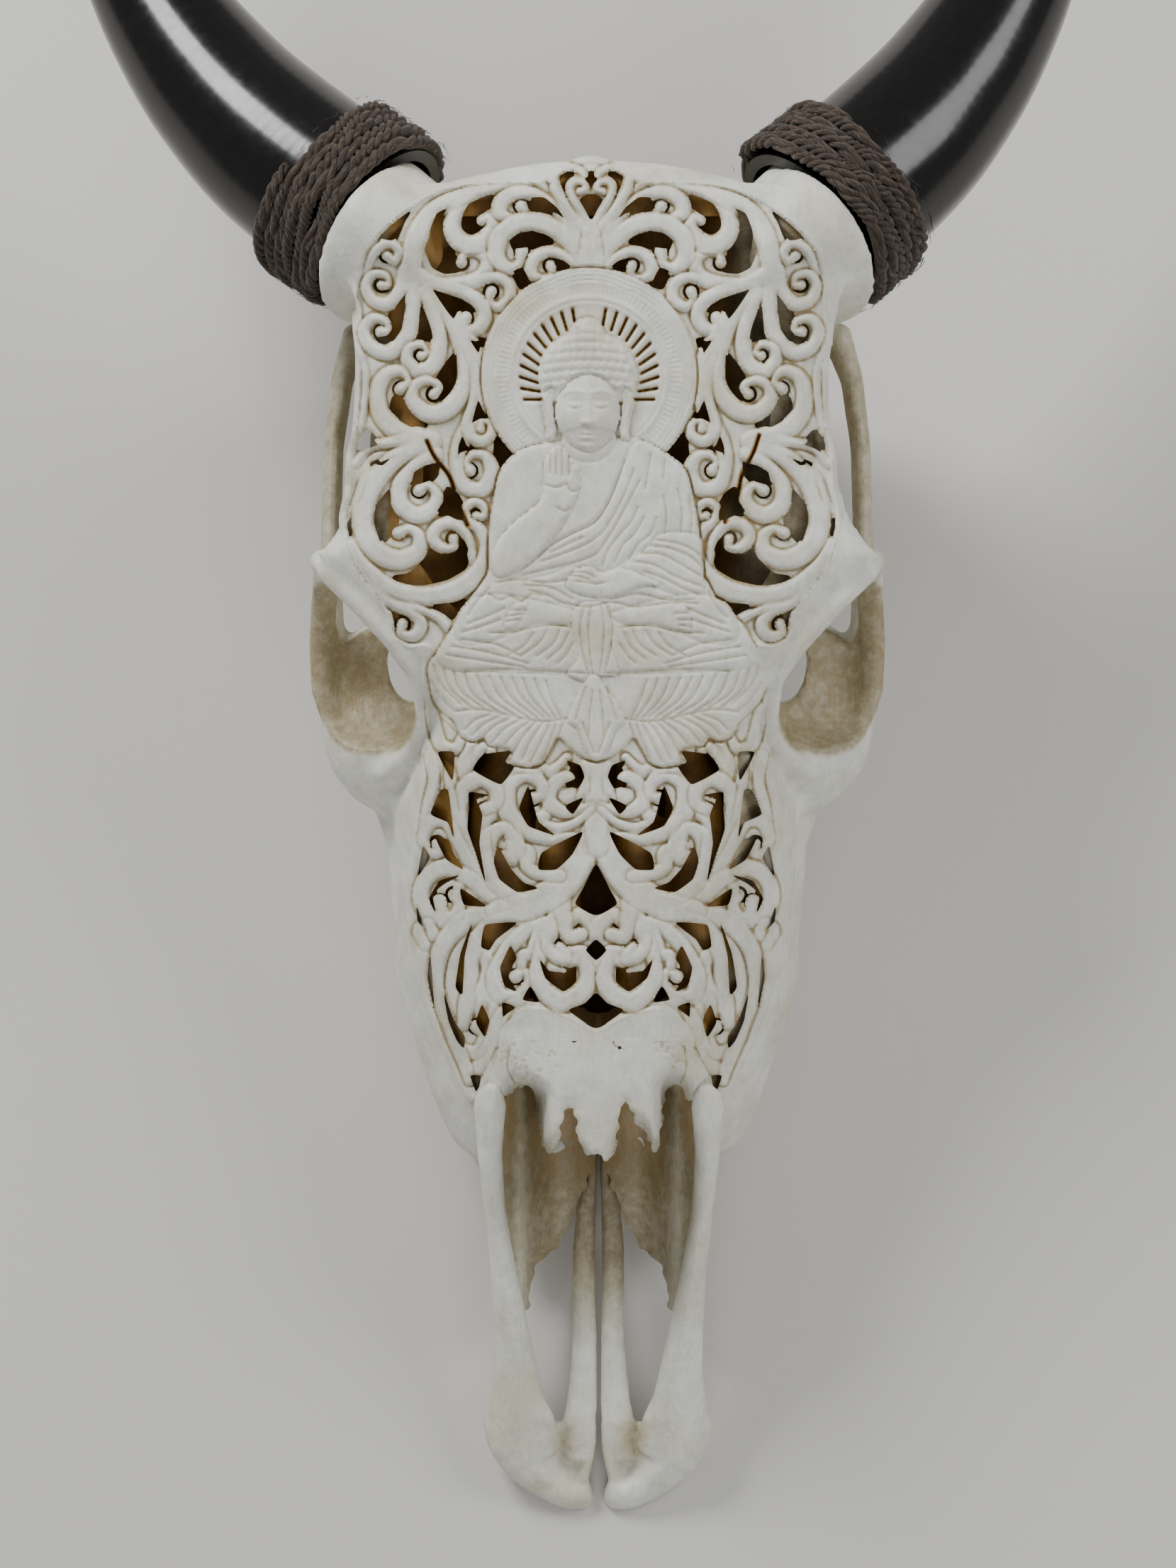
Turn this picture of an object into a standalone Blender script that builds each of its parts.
"""A carved cow skull without its lower jaw, lying on its upper cheek teeth, with two horns bound in rope.

Sizes in the tables are millimetres, and become metres where a mesh is made.

The skull is drawn in two frames. The face frame follows the forehead: u runs across, to the right as the
face is looked at, v runs from the muzzle to the poll, and w stands out of the forehead. The lying frame is
the one that the part is delivered in: X across, Y from muzzle to poll, Z up from the table.
"""

import math

import bmesh
import bpy
from mathutils import Euler, Matrix, Vector

MM = 0.001

# How the skull lies: its forehead rises towards the poll, and the teeth stand on the table
FOREHEAD_RISE = math.radians(15)
FOREHEAD_LIFT = 65.0
MIDDLE_X = -13.5
MIDDLE_Y = 381.2

# Clearances between pieces
SEAT_GAP = 0.6
SOCKET_GAP = 2.4
TOOTH_ROOM = 1.0

# Voxels, triangles and shading of the bones
SHARP_ANGLE = math.radians(40)
COARSE_VOXEL = 0.0032
FINE_VOXEL = 0.0026
CRANIUM_TRIANGLES = 3250
INCISIVE_TRIANGLES = 320
INCISIVE_VOXEL = 0.0018

# Horns: length of the sheath along its curve, and how far the bony core reaches into it
HORN_LENGTH = 322.0
CORE_LENGTH = 130.0
HORN_STEP = 2.0
HORN_SIDES = 12

# The rope round a horn's root
ROPE_WIDTH = 33.0
ROPE_TURNS = 6
ROPE_INNER = 33.6
ROPE_OUTER = 38.6
ROPE_STEPS = 15
CORE_CLEAR = 28.2

# Cheek teeth, front to back: length along the row, width, and distance of its middle from the midline
TEETH = (
    (15.5, 15.0, 43.5),
    (18.0, 18.0, 47.0),
    (18.5, 20.5, 51.0),
    (25.0, 22.5, 54.0),
    (28.0, 23.0, 56.0),
    (29.0, 21.0, 55.5),
)
TOOTH_ROW_START = 148.0
TOOTH_HEIGHT = 34.0
TOOTH_GAP = 0.5

# The table that the skull stands on, as a block whose top is at nought
TABLE_LOW = (-200, -300, -60)
TABLE_HIGH = (200, 300, 0)

SIDES =((-1, "left"), (1, "right"))


def face(u, v, w):
    """A point of the face frame, in the lying frame. Both are in millimetres."""
    rise, run = math.sin(FOREHEAD_RISE), math.cos(FOREHEAD_RISE)
    return Vector((u - MIDDLE_X, v * run - w * rise - MIDDLE_Y, FOREHEAD_LIFT + v * rise + w * run))


def lying(x, y, z):
    """A point measured from the table and from the muzzle, in the lying frame."""
    return Vector((x - MIDDLE_X, y - MIDDLE_Y, z))


def smooth_between(stations, at):
    """The values of a table's row at a place between its stations, eased by a cubic."""
    if at <= stations[0][0]:
        return stations[0][1:]
    for near, far in zip(stations, stations[1:]):
        if at <= far[0]:
            t = (at - near[0]) / (far[0] - near[0])
            t = t * t * (3 - 2 * t)
            return [a + (b - a) * t for a, b in zip(near[1:], far[1:])]
    return stations[-1][1:]


def add_loft(bm, rings):
    """A closed body through rings of points of equal count."""
    loops = [[bm.verts.new(point) for point in ring] for ring in rings]
    faces = [bm.faces.new(loops[0]), bm.faces.new(loops[-1])]
    for near, far in zip(loops, loops[1:]):
        for i in range(len(near)):
            j = (i + 1) % len(near)
            faces.append(bm.faces.new((near[i], near[j], far[j], far[i])))
    bmesh.ops.recalc_face_normals(bm, faces=faces)


def add_sections(bm, sections):
    """A body that is alike left and right, through half sections (v, (u, w), (u, w), ...) of the face frame."""
    rings = []
    for v, *half in sections:
        right = [face(u, v, w) for u, w in half]
        left = [face(-u, v, w) for u, w in half[-2:0:-1]]
        rings.append(right + left)
    add_loft(bm, rings)


def add_limb(bm, stations, up=Vector((0, 0, 1)), sides=12):
    """A body of oval section along stations (point, half width, half height)."""
    points = [point for point, _, _ in stations]
    rings = []
    for i, (point, half_width, half_height) in enumerate(stations):
        along = (points[min(i + 1, len(points) - 1)] - points[max(i - 1, 0)]).normalized()
        across = along.cross(up).normalized()
        rise = across.cross(along)
        turns = [2 * math.pi * k / sides for k in range(sides)]
        rings.append([point + across * half_width * math.cos(a) + rise * half_height * math.sin(a) for a in turns])
    add_loft(bm, rings)


def add_ring(bm, stations, up, sides=10):
    """A closed hoop of oval section through stations (point, half width, half height)."""
    points = [point for point, _, _ in stations]
    count = len(points)
    loops = []
    for i, (point, half_width, half_height) in enumerate(stations):
        along = (points[(i + 1) % count] - points[i - 1]).normalized()
        across = along.cross(up).normalized()
        rise = across.cross(along)
        turns = [2 * math.pi * k / sides for k in range(sides)]
        ring = [point + across * half_width * math.cos(a) + rise * half_height * math.sin(a) for a in turns]
        loops.append([bm.verts.new(p) for p in ring])
    faces = []
    for i, near in enumerate(loops):
        far = loops[(i + 1) % count]
        for k in range(sides):
            m = (k + 1) % sides
            faces.append(bm.faces.new((near[k], near[m], far[m], far[k])))
    bmesh.ops.recalc_face_normals(bm, faces=faces)


def add_ball(bm, centre, radii, turn=(0, 0, 0)):
    """An ellipsoid at a point of the lying frame."""
    place = Matrix.Translation(centre) @ Euler([math.radians(a) for a in turn]).to_matrix().to_4x4()
    place = place @ Matrix.Diagonal((*radii, 1))
    bmesh.ops.create_uvsphere(bm, u_segments=20, v_segments=12, radius=1, matrix=place)


def add_block(bm, low, high):
    """A box between two corners of the lying frame."""
    size = high - low
    place = Matrix.Translation((low + high) / 2) @ Matrix.Diagonal((*size, 1))
    bmesh.ops.create_cube(bm, size=1, matrix=place)


def mesh_object(name, bm, collection):
    """An object from a mesh drawn in millimetres."""
    bmesh.ops.scale(bm, vec=(MM, MM, MM), verts=bm.verts)
    mesh = bpy.data.meshes.new(name)
    bm.to_mesh(mesh)
    bm.free()
    mesh.shade_smooth()
    mesh.set_sharp_from_angle(angle=SHARP_ANGLE)
    obj = bpy.data.objects.new(name, mesh)
    collection.objects.link(obj)
    return obj


def cutter(name, bm, collection):
    obj = mesh_object(name, bm, collection)
    obj.display_type = "WIRE"
    obj.hide_render = True
    return obj


def add_cut(obj, tool, operation="DIFFERENCE"):
    modifier = obj.modifiers.new(tool.name, "BOOLEAN")
    modifier.operation = operation
    modifier.solver = "EXACT"
    modifier.object = tool


def add_remesh(obj, voxel, smoothing):
    remesh = obj.modifiers.new("Grown", "REMESH")
    remesh.mode = "VOXEL"
    remesh.voxel_size = voxel
    remesh.use_smooth_shade = True
    smooth = obj.modifiers.new("Worn", "SMOOTH")
    smooth.factor = 0.5
    smooth.iterations = smoothing


def add_decimate(obj, triangles):
    """Few enough triangles for an exact solid."""
    bpy.context.view_layer.update()
    evaluated = obj.evaluated_get(bpy.context.evaluated_depsgraph_get())
    mesh = evaluated.to_mesh()
    mesh.calc_loop_triangles()
    have = len(mesh.loop_triangles)
    evaluated.to_mesh_clear()
    decimate = obj.modifiers.new("Faceted", "DECIMATE")
    decimate.ratio = min(1.0, triangles / have)
    decimate.use_symmetry = False


def evaluated_mesh(obj):
    bpy.context.view_layer.update()
    evaluated = obj.evaluated_get(bpy.context.evaluated_depsgraph_get())
    return bpy.data.meshes.new_from_object(evaluated)


def material(name, colour, roughness, metallic=0.0):
    made = bpy.data.materials.new(name)
    made.use_nodes = True
    shader = made.node_tree.nodes["Principled BSDF"]
    shader.inputs["Base Color"].default_value = (*colour, 1)
    shader.inputs["Roughness"].default_value = roughness
    shader.inputs["Metallic"].default_value = metallic
    made.diffuse_color = (*colour, 1)
    return made


# The horns' centre lines: where each starts, and how its heading across the face and its lean back change
HORN_ROOTS = {-1: ((-82.1, 478.4, -41.2), 29.0), 1: ((79.5, 478.0, -41.2), 36.0)}
HORN_BEND = (
    (0.0, 0.0, 21.0),
    (30.0, 1.0, 21.0),
    (50.0, 14.0, 20.0),
    (80.0, 20.0, 18.0),
    (115.0, 26.0, 15.0),
    (180.0, 40.0, 8.0),
    (250.0, 53.0, 0.0),
    (322.0, 62.0, -8.0),
)
HORN_RADIUS = (
    (0.0, 32.5),
    (33.0, 32.3),
    (70.0, 28.6),
    (110.0, 24.6),
    (170.0, 18.8),
    (240.0, 12.2),
    (295.0, 6.6),
    (316.0, 3.6),
    (322.0, 1.2),
)
CORE_RADIUS = ((-45.0, 33.0), (-12.0, 30.0), (0.0, 28.0), (40.0, 26.5), (80.0, 22.0), (118.0, 16.0), (130.0, 9.0))


def horn_path(side):
    """Points and directions along a horn's centre line, from 50 mm inside the skull to the tip."""
    root, heading = HORN_ROOTS[side]
    point = Vector(root)
    path = []
    steps = round(HORN_LENGTH / HORN_STEP)
    for i in range(steps + 1):
        along = i * HORN_STEP
        bend, lean = smooth_between(HORN_BEND, along)
        turn, back = math.radians(heading + bend), math.radians(lean)
        ahead = Vector((side * math.cos(turn) * math.cos(back), math.sin(turn) * math.cos(back), -math.sin(back)))
        path.append((along, point.copy(), ahead))
        point += ahead * HORN_STEP
    start = path[0]
    inside = [(along, start[1] + start[2] * along, start[2]) for along in (-45.0, -12.0)]
    return inside + path


def to_lying(direction):
    """A direction of the face frame in the lying frame."""
    return face(*direction) - face(0, 0, 0)


def horn_ring(path, along, radius, sides):
    """A circle of points across a horn's centre line."""
    near = min(path, key=lambda entry: abs(entry[0] - along))
    centre = face(*near[1])
    ahead = to_lying(near[2]).normalized()
    up = Vector((0, 0, 1))
    across = ahead.cross(up).normalized()
    rise = across.cross(ahead)
    turns = [2 * math.pi * k / sides for k in range(sides)]
    return [centre + (across * math.cos(a) + rise * math.sin(a)) * radius for a in turns]


# Half sections of the face, (v, (u, w) ...), from the middle of the nose round to the middle of the palate
FACE_SECTIONS = (
    (126, (0, -34), (16, -34), (30, -36), (40, -44), (48, -58), (52, -72), (50, -88), (38, -90), (0, -76)),
    (135, (0, -28), (16, -28), (30, -30), (42, -37), (52, -54), (58, -68), (52, -91), (38, -93), (0, -77)),
    (150, (0, -8), (20, -10), (32, -17), (46, -30), (58, -50), (64, -66), (57, -94), (37, -96), (0, -80)),
    (165, (0, -5), (22, -8), (34, -15), (49, -30), (62, -50), (69, -68), (60, -98), (37, -100), (0, -83)),
    (180, (0, -4), (24, -7), (38, -14), (54, -29), (67, -50), (74, -69), (63, -102), (38, -104), (0, -87)),
    (196, (0, -4), (25, -6), (40, -13), (57, -29), (71, -51), (78.5, -71), (66, -107), (39, -109), (0, -91)),
    (212, (0, -3.5), (27, -6), (43, -12), (60, -28), (72, -51), (77, -73), (68, -111), (40, -113), (0, -95)),
    (237, (0, -3), (30, -5), (47, -11), (64, -28), (74, -50), (78, -74), (69, -118), (41, -120), (0, -101)),
    (258, (0, -2.5), (34, -4), (52, -9), (67, -25), (75, -48), (79, -72), (69, -122), (40, -124), (0, -106)),
    (272, (0, -2), (36, -3.5), (56, -8), (66, -24), (70, -46), (70, -74), (62, -118), (34, -124), (0, -109)),
    (290, (0, -2), (38, -3), (57, -7), (56, -26), (52, -50), (52, -78), (44, -104), (24, -116), (0, -108)),
    (312, (0, -1.5), (42, -2.5), (60, -6), (53, -26), (47, -52), (44, -82), (30, -102), (20, -107), (0, -100)),
    (338, (0, -1), (46, -2), (60, -6), (53, -26), (47, -52), (43, -82), (30, -100), (16, -104), (0, -102)),
)

# Half sections of the braincase, from the middle of the forehead round to the middle of the skull base
VAULT_SECTIONS = (
    (330, (0, -1), (46, -2), (60, -8), (54, -26), (47, -52), (43, -82), (30, -100), (16, -104), (0, -102)),
    (360, (0, -1), (48, -2), (66, -8), (56, -27), (49, -58), (46, -88), (36, -106), (18, -112), (0, -110)),
    (395, (0, -1), (50, -2), (74, -9), (60, -29), (54, -62), (52, -94), (38, -114), (20, -120), (0, -119)),
    (425, (0, -1), (50, -3), (78, -10), (70, -34), (62, -66), (62, -102), (44, -122), (22, -128), (0, -128)),
    (446, (0, -1), (50, -3), (80, -12), (82, -40), (80, -74), (84, -112), (54, -130), (24, -134), (0, -134)),
    (462, (0, -2), (50, -4), (80, -13), (80, -40), (74, -76), (70, -108), (40, -122), (20, -126), (0, -126)),
    (478, (0, -3), (48, -5), (76, -14), (70, -40), (56, -72), (40, -90), (22, -96), (10, -96), (0, -94)),
    (489, (0, -6), (44, -8), (66, -16), (62, -36), (46, -60), (30, -72), (16, -70), (8, -62), (0, -58)),
    (495, (0, -9), (30, -11), (42, -16), (40, -24), (34, -34), (24, -40), (14, -36), (6, -30), (0, -28)),
)

# The forehead's flat shelf: v, its half width there, and how far its face lies below the forehead's plane
SHELF_EDGE = (
    (262, 52.0, 4.0),
    (285, 57.0, 2.4),
    (300, 60.0, 1.6),
    (309, 64.5, 1.2),
    (318, 72.0, 0.9),
    (327, 80.0, 0.6),
    (336, 89.0, 0.4),
    (344, 97.5, 0.2),
    (352, 104.5, 0.0),
    (358, 99.5, 0.0),
    (366, 94.0, 0.0),
    (376, 90.8, 0.0),
    (388, 88.2, 0.0),
    (402, 86.6, 0.0),
    (420, 86.6, 0.0),
    (434, 88.0, 0.0),
    (448, 91.0, 0.0),
    (460, 94.0, 0.2),
    (470, 95.6, 0.6),
    (478, 93.0, 1.2),
    (485, 88.0, 2.4),
    (490, 80.0, 4.0),
)

# Half of the shelf's section: share of the half width, and w
SHELF_SECTION = ((0, 0), (0.5, -0.8), (0.8, -3), (0.93, -6), (1, -11), (0.96, -17), (0.8, -22), (0.5, -24), (0, -24))

# The eye ring of the right side, (u, v, w, half width, half height), round from the outer corner of the brow
EYE_RING = (
    (99.0, 346, -15, 5.0, 6.0),
    (88.0, 335, -13, 4.5, 6.0),
    (75.0, 321, -13, 4.5, 6.0),
    (65.0, 308, -17, 4.5, 6.5),
    (62.0, 294, -27, 5.0, 7.5),
    (66.0, 281, -41, 6.0, 9.0),
    (76.0, 272, -55, 6.0, 9.0),
    (89.0, 276, -66, 5.5, 8.0),
    (99.0, 288, -71, 5.0, 7.0),
    (104.5, 304, -71, 4.8, 6.5),
    (105.5, 321, -68, 4.5, 6.0),
    (104.0, 337, -60, 4.5, 6.0),
    (102.5, 348, -44, 4.5, 6.0),
    (102.0, 351, -27, 5.0, 6.0),
)

# The cheek arch of the right side, from the cheek tuberosity to the ear
CHEEK_ARCH = (
    (72.0, 190, -74, 4.0, 8.0),
    (74.0, 215, -77, 4.5, 9.0),
    (76.0, 245, -80, 5.0, 12.0),
    (85.0, 272, -83, 5.5, 15.0),
    (96.0, 294, -84, 5.0, 14.0),
    (101.5, 318, -82, 4.5, 12.0),
    (102.5, 342, -80, 4.5, 11.0),
    (102.5, 370, -85, 4.0, 8.5),
    (102.0, 398, -91, 4.0, 8.0),
    (99.0, 424, -96, 4.5, 8.0),
    (94.0, 440, -98, 6.5, 8.5),
    (76.0, 446, -100, 9.0, 10.0),
)

# The hollow behind the forehead: v, and how wide it is as a share of its widest section
SINUS_SHARE = (
    (316, 0.55),
    (326, 0.72),
    (338, 0.9),
    (352, 1.06),
    (366, 1.0),
    (400, 0.97),
    (440, 1.0),
    (466, 1.04),
    (478, 0.8),
)

# Half sections of the hollow behind the nose, from under the nose's ridge to its floor
NOSE_HOLLOW = (
    (152, (0, -11), (22, -13), (30, -18), (31, -34), (30, -52), (26, -64), (0, -68)),
    (165, (0, -10.5), (20, -13), (32, -20), (42, -34), (44, -52), (34, -68), (0, -74)),
    (196, (0, -9.5), (24, -12), (37, -18), (52, -33), (60, -54), (44, -74), (0, -80)),
    (237, (0, -8.5), (29, -10.5), (44, -16), (58, -32), (66, -52), (54, -76), (0, -84)),
    (262, (0, -8), (32, -9.5), (48, -14), (60, -30), (64, -48), (50, -72), (0, -84)),
    (292, (0, -8), (34, -9), (48, -13), (46, -26), (42, -46), (36, -66), (0, -78)),
)

# The larger holes carved right through, on the left half of the photograph: u, v, length, width, turn in degrees
PIERCED = (
    (-75.6, 471.3, 15, 5.5, 50),
    (-58.4, 465.5, 24, 8.5, 97),
    (-20.5, 478.0, 15, 5.5, -38),
    (-73.6, 438.9, 20, 7.0, 62),
    (-63.0, 435.3, 17, 5.5, 105),
    (-50.0, 446.5, 17, 6.0, -35),
    (-53.8, 418.0, 15, 7.0, 75),
    (-69.8, 404.0, 17, 8.0, -35),
    (-78.9, 369.0, 22, 7.0, 82),
    (-52.8, 372.3, 20, 7.0, -70),
    (-59.2, 347.3, 28, 9.5, 14),
    (-38.0, 274.8, 10, 8.0, 60),
    (-23.0, 258.0, 14, 7.0, -50),
    (-18.5, 240.0, 13, 7.0, 30),
    (-32.0, 211.5, 15, 6.5, 40),
)
MIDLINE_PIERCED = ((0.5, 228, 18, 9, 90), (0.5, 205, 9, 8, 90), (0.5, 186, 13, 10, 90))


def add_oval(bm, u, v, length, width, turn, low, high, sides=6):
    """An oval prism that stands across the plate, for a pierced hole."""
    rings = []
    for w in (low, high):
        ring = []
        for k in range(sides):
            a = 2 * math.pi * k / sides
            along, across = math.cos(a) * length / 2, math.sin(a) * width / 2
            c, s = math.cos(math.radians(turn)), math.sin(math.radians(turn))
            ring.append(face(u + along * c - across * s, v + along * s + across * c, w))
        rings.append(ring)
    add_loft(bm, rings)


def grown_core(parts, tools):
    """The bone before its thin borders are added: face, braincase, base and the bowls of the eyes."""
    bm = bmesh.new()
    add_sections(bm, FACE_SECTIONS)
    add_sections(bm, VAULT_SECTIONS)
    for side, _ in SIDES:
        add_ball(bm, face(side * 76, 294, -78), (31, 40, 30))
        add_ball(bm, face(side * 70, 468, -44), (28, 25, 29))
        add_ball(bm, lying(side * 77, 462, 80), (15, 18, 33))
        add_ball(bm, lying(side * 27, 476, 44), (18, 20, 18), (0, side * 20, side * -15))
        add_ball(bm, lying(side * 40, 424, 34), (12, 17, 17))
        core = [(face(*point), *([smooth_between(CORE_RADIUS, at)[0]] * 2)) for at, point, _ in horn_path(side)
                if at <= CORE_LENGTH and (at < 0 or at % 10 == 0)]
        add_limb(bm, core, sides=16)
        jugular = ((64, 459, 72, 13, 17), (61, 459, 50, 9, 14), (57, 457, 30, 7, 11), (53, 454, 13, 6.5, 9), (50, 453, -4, 6, 7.5))
        add_limb(bm, [(lying(side * x, y, z), a, b) for x, y, z, a, b in jugular], up=Vector((0, 1, 0)))
        add_ball(bm, lying(side * 50, 464, 54), (17, 12, 17))
        ear = ((56, 430, 62, 9, 9), (74, 436, 68, 8, 8), (88, 441, 72, 7, 7))
        add_limb(bm, [(lying(side * x, y, z), a, b) for x, y, z, a, b in ear])
        wing = ((23, 286, 36, 4, 16), (21, 312, 40, 4, 18), (19, 338, 46, 4, 18), (18, 362, 52, 5, 14))
        add_limb(bm, [(lying(side * x, y, z), a, b) for x, y, z, a, b in wing])
        hook = ((20, 322, 36, 3.5, 8), (19, 334, 26, 3, 5), (18, 344, 20, 3, 3))
        add_limb(bm, [(lying(side * x, y, z), a, b) for x, y, z, a, b in hook])
        gum = ((41, 128, -80, 7, 11), (38, 112, -74, 6, 9), (34, 92, -70, 5, 6))
        add_limb(bm, [(face(side * u, v, w), a, b) for u, v, w, a, b in gum])
    base = ((0, 474, 42, 18, 9), (0, 450, 42, 20, 12), (0, 420, 44, 17, 12), (0, 385, 50, 13, 12), (0, 345, 60, 11, 12))
    add_limb(bm, [(lying(x, y, z), a, b) for x, y, z, a, b in base])
    palate = ((0, 112, -82, 34, 4), (0, 134, -80, 38, 5), (0, 150, -83, 38, 5))
    add_limb(bm, [(face(u, v, w), a, b) for u, v, w, a, b in palate])
    grown = cutter("grown_core", bm, tools)
    add_remesh(grown, COARSE_VOXEL, 3)

    bm = bmesh.new()
    for side, _ in SIDES:
        add_ball(bm, face(side * 92, 311, -42), (39, 32, 31), (15, 0, 0))
    add_cut(grown, cutter("eye_hollows", bm, tools))

    bm = bmesh.new()
    for side, _ in SIDES:
        gap = ((56, 322, -20, 14, 18), (62, 322, -60, 14, 20), (64, 326, -105, 16, 24), (66, 330, -150, 20, 30))
        add_limb(bm, [(face(side * u, v, w), a, b) for u, v, w, a, b in gap], up=Vector((0, 1, 0)))
    add_cut(grown, cutter("eye_gaps", bm, tools))

    bm = bmesh.new()
    mouth = (
        (60, (0, 20), (30, 20), (33, -30), (30, -66), (0, -70)),
        (112, (0, 20), (31, 20), (34, -30), (31, -66), (0, -72)),
        (140, (0, 20), (31, 20), (34, -20), (32, -66), (0, -74)),
        (158, (0, 20), (28, 20), (31, -14), (31, -64), (0, -74)),
    )
    add_sections(bm, mouth)
    add_cut(grown, cutter("nose_mouth", bm, tools))
    return grown


def cranium(parts, tools):
    grown = grown_core(parts, tools)
    bm = bmesh.new()
    bm.from_mesh(evaluated_mesh(grown))
    bmesh.ops.scale(bm, vec=(1 / MM, 1 / MM, 1 / MM), verts=bm.verts)
    shelf = [(v, *[(half * share, w - drop) for share, w in SHELF_SECTION]) for v, half, drop in SHELF_EDGE]
    add_sections(bm, shelf)
    add_ball(bm, face(0, 484, -13), (56, 15.5, 12.5))
    for side, _ in SIDES:
        ring = [(face(side * u, v, w), a, b) for u, v, w, a, b in EYE_RING]
        add_ring(bm, ring, to_lying((side * 0.55, 0, 0.83)))
        arch = [(face(side * u, v, w), a, b) for u, v, w, a, b in CHEEK_ARCH]
        add_limb(bm, arch)
        add_ball(bm, face(side * 80, 480, -16), (13, 10, 9))
    nose_plate = (
        (133, (0, -7), (2, -7), (4, -8), (4, -11), (0, -11)),
        (150, (0, -5), (6, -5.5), (8, -6), (8, -11), (0, -11)),
        (158, (0, -4), (22, -7), (30, -11), (28, -16), (0, -11)),
        (175, (0, -4), (24, -7), (36, -13), (34, -19), (0, -12)),
    )
    add_sections(bm, nose_plate)
    for u in (-17, 20):
        prong = ((u * 1.05, 132, -10, 3, 2.2), (u, 146, -9, 5.5, 2.6), (u * 0.9, 162, -8.5, 7, 3))
        add_limb(bm, [(face(a, v, w), p, q) for a, v, w, p, q in prong])
    skull = mesh_object("cranium", bm, parts)
    add_remesh(skull, FINE_VOXEL, 4)
    add_decimate(skull, CRANIUM_TRIANGLES)
    return skull


def inflated(stations, by):
    return [(point, a + by, b + by) for point, a, b in stations]


def incisive_limbs(side):
    """The three stretches of a loose front bone: its outer bar, its tip, and the spur beside the midline."""
    bar = (
        (38.5, 157, -19, 4.5, 4.0),
        (39.5, 142, -26, 5.5, 7.0),
        (39.0, 118, -37, 5.5, 8.5),
        (36.5, 88, -46, 6.5, 8.5),
        (33.5, 62, -51, 7.5, 7.5),
        (30.0, 38, -55, 11.0, 6.0),
        (26.0, 18, -57, 14.0, 5.0),
    )
    spur = (
        (13.0, 12, -58, 9.0, 4.0),
        (9.5, 28, -60, 7.5, 3.5),
        (6.3, 48, -61, 5.2, 3.2),
        (5.8, 78, -65, 4.8, 3.2),
        (5.2, 108, -70, 4.2, 3.5),
        (4.0, 140, -74, 2.8, 3.5),
    )
    return [[(face(side * u, v, w), a, b) for u, v, w, a, b in table] for table in (bar, spur)]


def incisive_bone(side, name, parts, tools):
    bm = bmesh.new()
    for limb in incisive_limbs(side):
        add_limb(bm, limb)
    add_ball(bm, face(side * 21.5, 11, -58), (19.5, 18, 5.5))
    add_ball(bm, face(side * 29, 30, -56), (13.5, 28, 6))
    add_ball(bm, face(side * 12, 14, -58), (10, 20, 4.5))
    bone = mesh_object(name, bm, parts)
    add_remesh(bone, INCISIVE_VOXEL, 3)
    add_decimate(bone, INCISIVE_TRIANGLES)
    return bone


def incisive_seat(side, name, tools):
    """The place that a loose front bone takes in the cheek and on the palate."""
    bm = bmesh.new()
    bar, spur = incisive_limbs(side)
    add_limb(bm, inflated(bar, SEAT_GAP))
    seat = cutter(f"bar_seat_{name}", bm, tools)
    bm = bmesh.new()
    add_limb(bm, inflated(spur[2:], SEAT_GAP))
    return seat, cutter(f"spur_seat_{name}", bm, tools)


def horn(side, name, parts, tools):
    """The hollow sheath, which slips over the bony core."""
    path = horn_path(side)
    stations = (0.5, 33, 62, 90, 118, 146, 174, 202, 230, 256, 280, 300, 314, 320)
    bm = bmesh.new()
    add_loft(bm, [horn_ring(path, at, smooth_between(HORN_RADIUS, at)[0], HORN_SIDES) for at in stations])
    sheath = mesh_object(name, bm, parts)
    bm = bmesh.new()
    hollow = (-12, 12, 36, 60, 84, 108, 134)
    rings = [horn_ring(path, at, smooth_between(CORE_RADIUS, at)[0] + SOCKET_GAP, HORN_SIDES) for at in hollow]
    add_loft(bm, rings)
    add_cut(sheath, cutter(f"socket_{name}", bm, tools))
    return sheath


def along_horn(side, at):
    """A frame whose Z runs along a horn, at a place on its centre line."""
    near = min(horn_path(side), key=lambda entry: abs(entry[0] - at))
    ahead = to_lying(near[2]).normalized()
    return Matrix.Translation(face(*near[1]) * MM) @ ahead.to_track_quat("Z", "Y").to_matrix().to_4x4()


def turned(name, profile, steps, place, collection):
    """A ring turned from a closed profile of (radius, height) in millimetres, that runs down its outer side."""
    mesh = bpy.data.meshes.new(name)
    points = [(radius * MM, 0, height * MM) for radius, height in profile]
    mesh.from_pydata(points, [(i, (i + 1) % len(points)) for i in range(len(points))], [])
    ring = bpy.data.objects.new(name, mesh)
    collection.objects.link(ring)
    ring.matrix_world = place
    screw = ring.modifiers.new("Turned", "SCREW")
    screw.steps = screw.render_steps = steps
    screw.use_merge_vertices = True
    screw.merge_threshold = 0.00005
    return ring


def rope(side, name, parts):
    """The outer shape of the rope's turns round the root of a horn."""
    pitch = ROPE_WIDTH / ROPE_TURNS
    profile = [(ROPE_INNER, 0), (ROPE_INNER, ROPE_WIDTH)]
    for turn in reversed(range(ROPE_TURNS)):
        low = turn * pitch
        profile.append((ROPE_OUTER - 2.0, low + 0.9 * pitch))
        profile.append((ROPE_OUTER, low + 0.5 * pitch))
    profile.append((ROPE_OUTER - 2.0, 0.1 * pitch))
    return turned(name, profile, ROPE_STEPS, along_horn(side, 1), parts)


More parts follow.
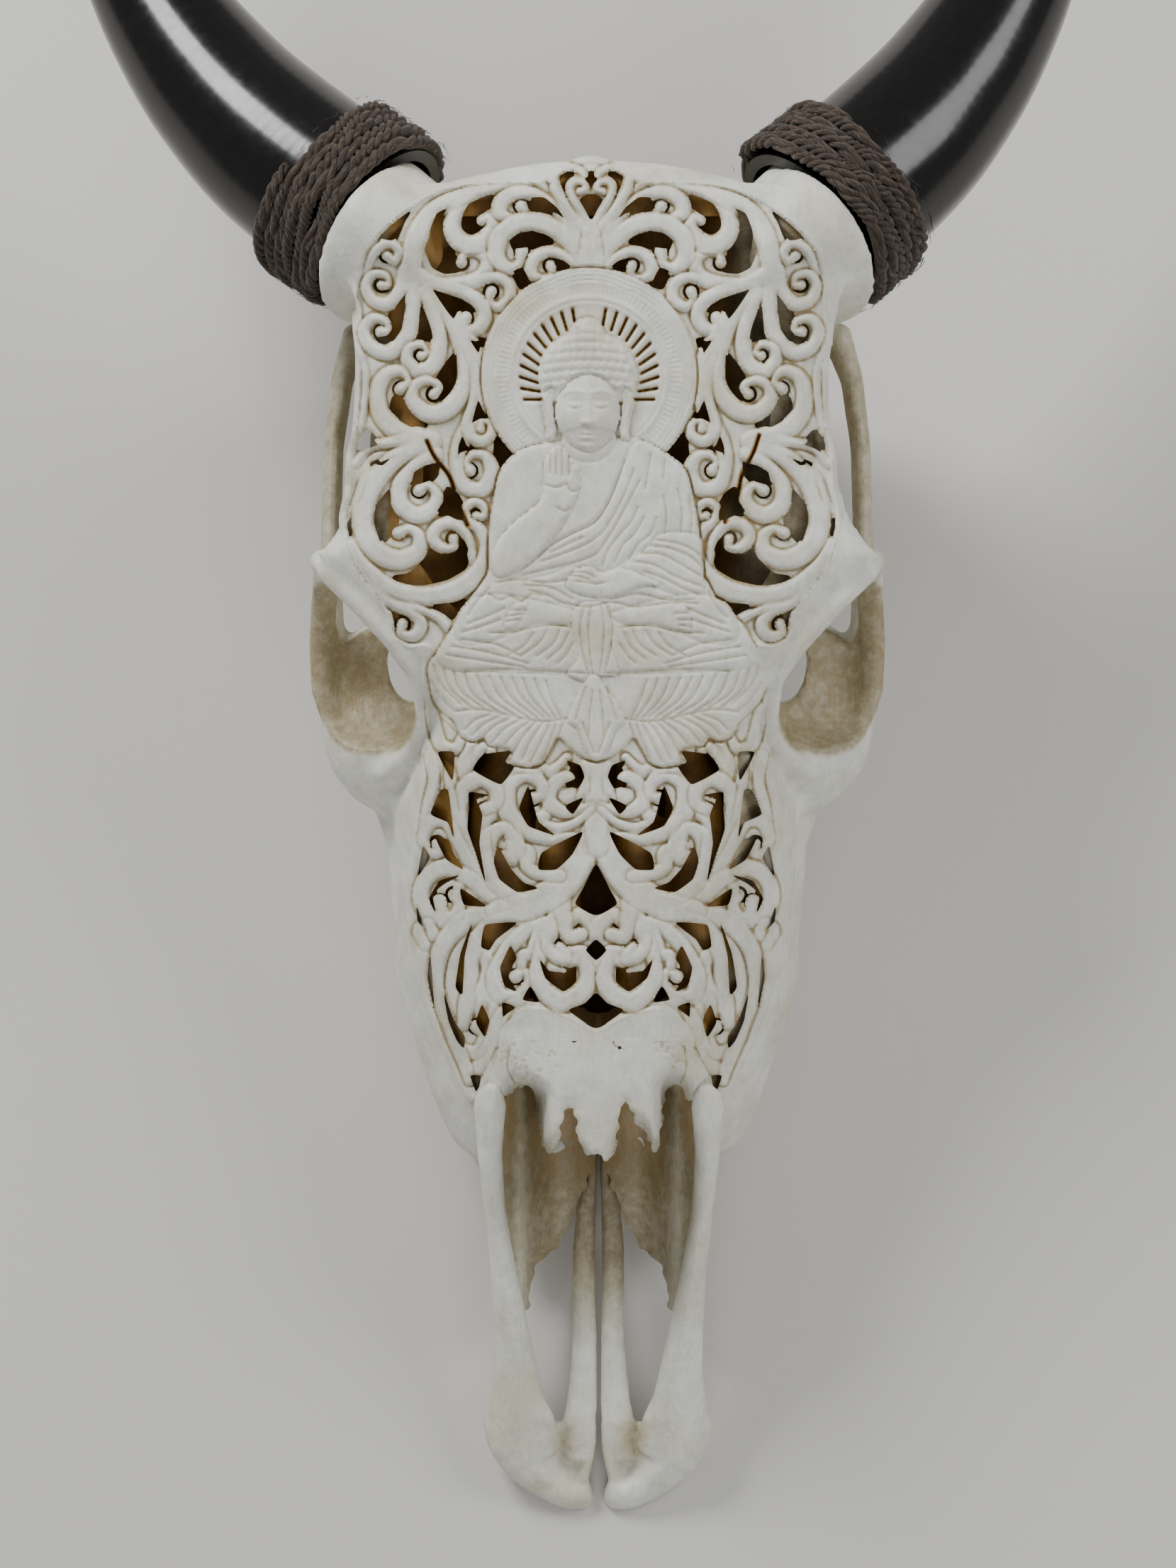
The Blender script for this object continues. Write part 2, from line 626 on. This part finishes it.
def rope_seat(side, name, tools):
    profile = ((CORE_CLEAR, -1), (CORE_CLEAR, 60), (ROPE_OUTER + 1, 60), (ROPE_OUTER + 1, -1))
    ring = turned(f"rope_seat_{name}", profile, 2 * ROPE_STEPS, along_horn(side, 0), tools)
    ring.display_type = "WIRE"
    ring.hide_render = True
    return ring


def tooth_places():
    """Each cheek tooth's middle along the row, with its length, width and distance from the midline."""
    start = TOOTH_ROW_START
    places = []
    for length, width, out in TEETH:
        places.append((start + length / 2, length, width, out))
        start += length + TOOTH_GAP
    return places


def rounded_ring(x, y, z, length, width):
    """Eight points of a rounded oblong across a tooth."""
    a, b = width / 2, length / 2
    corner = 0.55
    outline = ((a, b * corner), (a * corner, b), (-a * corner, b), (-a, b * corner))
    outline += tuple((-p, -q) for p, q in outline)
    return [lying(x + p, y + q, z) for p, q in outline]


def cheek_tooth(side, name, y, length, width, out, parts):
    """A worn crown and its root."""
    levels = ((0, 0.94, 0.92), (6, 1, 1), (20, 0.94, 0.96), (TOOTH_HEIGHT, 0.72, 0.8))
    bm = bmesh.new()
    add_loft(bm, [rounded_ring(side * out, y, z, length * a, width * b) for z, a, b in levels])
    return mesh_object(name, bm, parts)


def tooth_troughs(tools):
    """The row of sockets of each side."""
    places = tooth_places()
    ends = [places[0][0] - places[0][1] / 2 - TOOTH_ROOM]
    ends += [(a[0] + a[1] / 2 + b[0] - b[1] / 2) / 2 for a, b in zip(places, places[1:])]
    ends.append(places[-1][0] + places[-1][1] / 2 + TOOTH_ROOM)
    bm = bmesh.new()
    for side, _ in SIDES:
        rings = []
        for i, y in enumerate(ends):
            beside = places[max(i - 1, 0):i + 1]
            inner = min(out - width / 2 for _, _, width, out in beside) - TOOTH_ROOM
            outer = max(out + width / 2 for _, _, width, out in beside) + TOOTH_ROOM
            low, high = -10, TOOTH_HEIGHT + TOOTH_ROOM
            corners = ((inner, low), (outer, low), (outer, high), (inner, high))
            rings.append([lying(side * x, y, z) for x, z in corners])
        add_loft(bm, rings)
    return cutter("tooth_troughs", bm, tools)


def cavities(tools):
    """The hollows behind the plate and the nose, the braincase, and the way out of the nose to the throat."""
    made = []
    bm = bmesh.new()
    sinus = ((0, -5.5), (40, -6.4), (62, -9), (71, -12.5), (68, -16), (52, -18.5), (44, -27), (0, -28))
    add_sections(bm, [(v, *[(u * share, w) for u, w in sinus]) for v, share in SINUS_SHARE])
    made.append(cutter("forehead_hollow", bm, tools))
    bm = bmesh.new()
    add_sections(bm, NOSE_HOLLOW)
    made.append(cutter("nose_hollow", bm, tools))
    bm = bmesh.new()
    add_ball(bm, face(0, 412, -74), (39, 56, 38), (15, 0, 0))
    made.append(cutter("braincase_hollow", bm, tools))
    bm = bmesh.new()
    neck = ((0, 440, 66, 17, 16), (0, 470, 66, 18, 17), (0, 520, 66, 22, 20))
    add_limb(bm, [(lying(x, y, z), a, b) for x, y, z, a, b in neck])
    made.append(cutter("neck_opening", bm, tools))
    bm = bmesh.new()
    throat = ((0, 262, 66, 15, 12), (0, 296, 60, 14, 12), (0, 322, 42, 13, 12), (0, 336, 10, 13, 14))
    add_limb(bm, [(lying(x, y, z), a, b) for x, y, z, a, b in throat])
    made.append(cutter("throat_opening", bm, tools))
    return made


def plate_drop(u, v):
    """How far the carved face lies below the forehead's plane."""
    nose = max(0.0, (300 - v) / 100)
    slope = max(0.0, (abs(u) - 30) / 45)
    return 3.0 * nose + 12.0 * slope ** 2 * min(1.0, 3 * nose)


def pierced_holes(tools):
    bm = bmesh.new()
    holes = [(side * u, v, length, width, side * turn) for u, v, length, width, turn in PIERCED for side in (1, -1)]
    for u, v, length, width, turn in [*holes, *MIDLINE_PIERCED]:
        drop = plate_drop(u, v)
        add_oval(bm, u, v, length, width, turn, -drop - 11, -drop + 4)
    return cutter("pierced_holes", bm, tools)


def main():
    for obj in list(bpy.data.objects):
        bpy.data.objects.remove(obj)
    parts = bpy.data.collections.new("carved_cow_skull")
    tools = bpy.data.collections.new("cutters")
    tools.hide_render = True
    for collection in (parts, tools):
        bpy.context.scene.collection.children.link(collection)
    bone = material("bleached_bone", (0.86, 0.83, 0.75), 0.55)
    black_horn = material("polished_black_horn", (0.012, 0.011, 0.01), 0.18)
    fibre = material("palm_fibre_rope", (0.09, 0.07, 0.055), 0.9)
    enamel = material("tooth_enamel", (0.78, 0.72, 0.58), 0.35)

    skull = cranium(parts, tools)
    skull.data.materials.append(bone)
    for tool in cavities(tools):
        add_cut(skull, tool)
    add_cut(skull, tooth_troughs(tools))
    for side, name in SIDES:
        add_cut(skull, rope_seat(side, name, tools))
        for seat in incisive_seat(side, name, tools):
            add_cut(skull, seat)
        incisive_bone(side, f"incisive_bone_{name}", parts, tools).data.materials.append(bone)
        horn(side, f"horn_{name}", parts, tools).data.materials.append(black_horn)
        rope(side, f"rope_{name}", parts).data.materials.append(fibre)
        for i, (y, length, width, out) in enumerate(tooth_places()):
            tooth = cheek_tooth(side, f"cheek_tooth_{name}_{i + 1}", y, length, width, out, parts)
            tooth.data.materials.append(enamel)
    add_cut(skull, pierced_holes(tools))
    bm = bmesh.new()
    add_block(bm, Vector(TABLE_LOW), Vector(TABLE_HIGH))
    add_cut(skull, cutter("table", bm, tools))


main()
